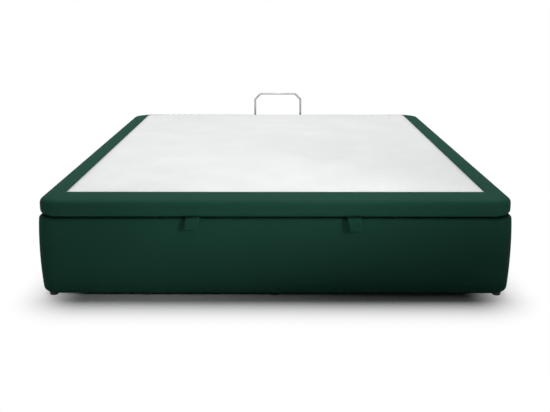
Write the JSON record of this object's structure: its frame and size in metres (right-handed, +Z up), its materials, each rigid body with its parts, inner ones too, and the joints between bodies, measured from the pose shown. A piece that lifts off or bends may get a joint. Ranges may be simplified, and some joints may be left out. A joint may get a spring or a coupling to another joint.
{
  "type": "storage bed base",
  "caption": "Upholstered storage bed base whose padded lid lifts from the foot end on hinges and gas springs, with pull tabs and a mattress bar.",
  "frame": {"origin": "on the floor, in the middle of the box, under the middle glide", "axes": "+X to the right seen from the foot end, +Y from the foot to the head end, +Z up"},
  "size_m": [1.4996, 1.9165, 0.429],
  "materials": {
    "upholstery": "satin",
    "white_fabric": "matte",
    "foam": "matte",
    "melamine_board": "satin",
    "fibre_board": "matte",
    "pine": "matte",
    "frame_paint": "satin",
    "spring_paint": "gloss",
    "chrome_rod": "polished",
    "satin_steel": "satin",
    "zinc": "satin",
    "bronze": "satin",
    "black_plastic": "matte",
    "rubber": "matte"
  },
  "bodies": {
    "box": {"side_board_left": "melamine_board", "side_board_right": "melamine_board", "head_board": "melamine_board", "foot_board": "melamine_board", "corner_posts": "pine", "corner_braces": "zinc", "post_bolts": "zinc", "post_nuts": "zinc", "box_cover": "upholstery", "floor_cleats": "pine", "floor_rails": "pine", "floor_panel_head": "fibre_board", "floor_panel_foot": "fibre_board", "glides": "black_plastic", "lid_buffers": "rubber", "hinge_bracket_left": "frame_paint", "hinge_bracket_right": "frame_paint", "hinge_pin_left": "zinc", "hinge_pin_right": "zinc", "hinge_nuts": "zinc", "spring_base_left": "frame_paint", "spring_base_right": "frame_paint"},
    "lid": {"lid_side_rail_left": "frame_paint", "lid_side_rail_right": "frame_paint", "lid_foot_rail": "frame_paint", "lid_rear_rail": "frame_paint", "lid_cross_tubes": "frame_paint", "lid_corner_blocks": "black_plastic", "lid_board": "fibre_board", "lid_foam": "foam", "top_panel": "white_fabric", "lid_cover": "upholstery", "pull_tab_left": "upholstery", "pull_tab_right": "upholstery", "mattress_bar": "satin_steel", "bar_bolts": "zinc", "bar_nuts": "zinc", "hinge_lug_left": "frame_paint", "hinge_lug_right": "frame_paint", "hinge_bushes": "bronze", "spring_lid_plate_left": "frame_paint", "spring_lid_plate_right": "frame_paint"},
    "left_spring_tube": {"spring_cylinder_left": "spring_paint", "rod_guide_left": "black_plastic"},
    "left_spring_rod": {"piston_rod_left": "chrome_rod", "piston_left": "black_plastic", "rod_eye_left": "zinc"},
    "right_spring_tube": {"spring_cylinder_right": "spring_paint", "rod_guide_right": "black_plastic"},
    "right_spring_rod": {"piston_rod_right": "chrome_rod", "piston_right": "black_plastic", "rod_eye_right": "zinc"}
  },
  "joints": [
    {"name": "lid_lift", "type": "hinge", "parent": "box", "child": "lid", "pos_m": [0, 0.919, 0.287], "axis": [-1, 0, 0], "range_deg": [0, 36]},
    {"name": "left_tube_swivel", "type": "hinge", "parent": "box", "child": "left_spring_tube", "pos_m": [-0.688, 0.71261, 0.069], "axis": [-1, 0, 0], "range_deg": [0, 18]},
    {"name": "left_rod_swivel", "type": "hinge", "parent": "lid", "child": "left_spring_rod", "pos_m": [-0.688, 0.61886, 0.281], "axis": [-1, 0, 0], "range_deg": [-18, 0]},
    {"name": "right_tube_swivel", "type": "hinge", "parent": "box", "child": "right_spring_tube", "pos_m": [0.688, 0.71261, 0.069], "axis": [-1, 0, 0], "range_deg": [0, 18]},
    {"name": "right_rod_swivel", "type": "hinge", "parent": "lid", "child": "right_spring_rod", "pos_m": [0.688, 0.61886, 0.281], "axis": [-1, 0, 0], "range_deg": [-18, 0]}
  ],
  "couplings": [
    {"joint": "left_tube_swivel", "follows": "lid_lift", "ratio": 0.5},
    {"joint": "left_rod_swivel", "follows": "lid_lift", "ratio": -0.5},
    {"joint": "right_tube_swivel", "follows": "lid_lift", "ratio": 0.5},
    {"joint": "right_rod_swivel", "follows": "lid_lift", "ratio": -0.5}
  ]
}
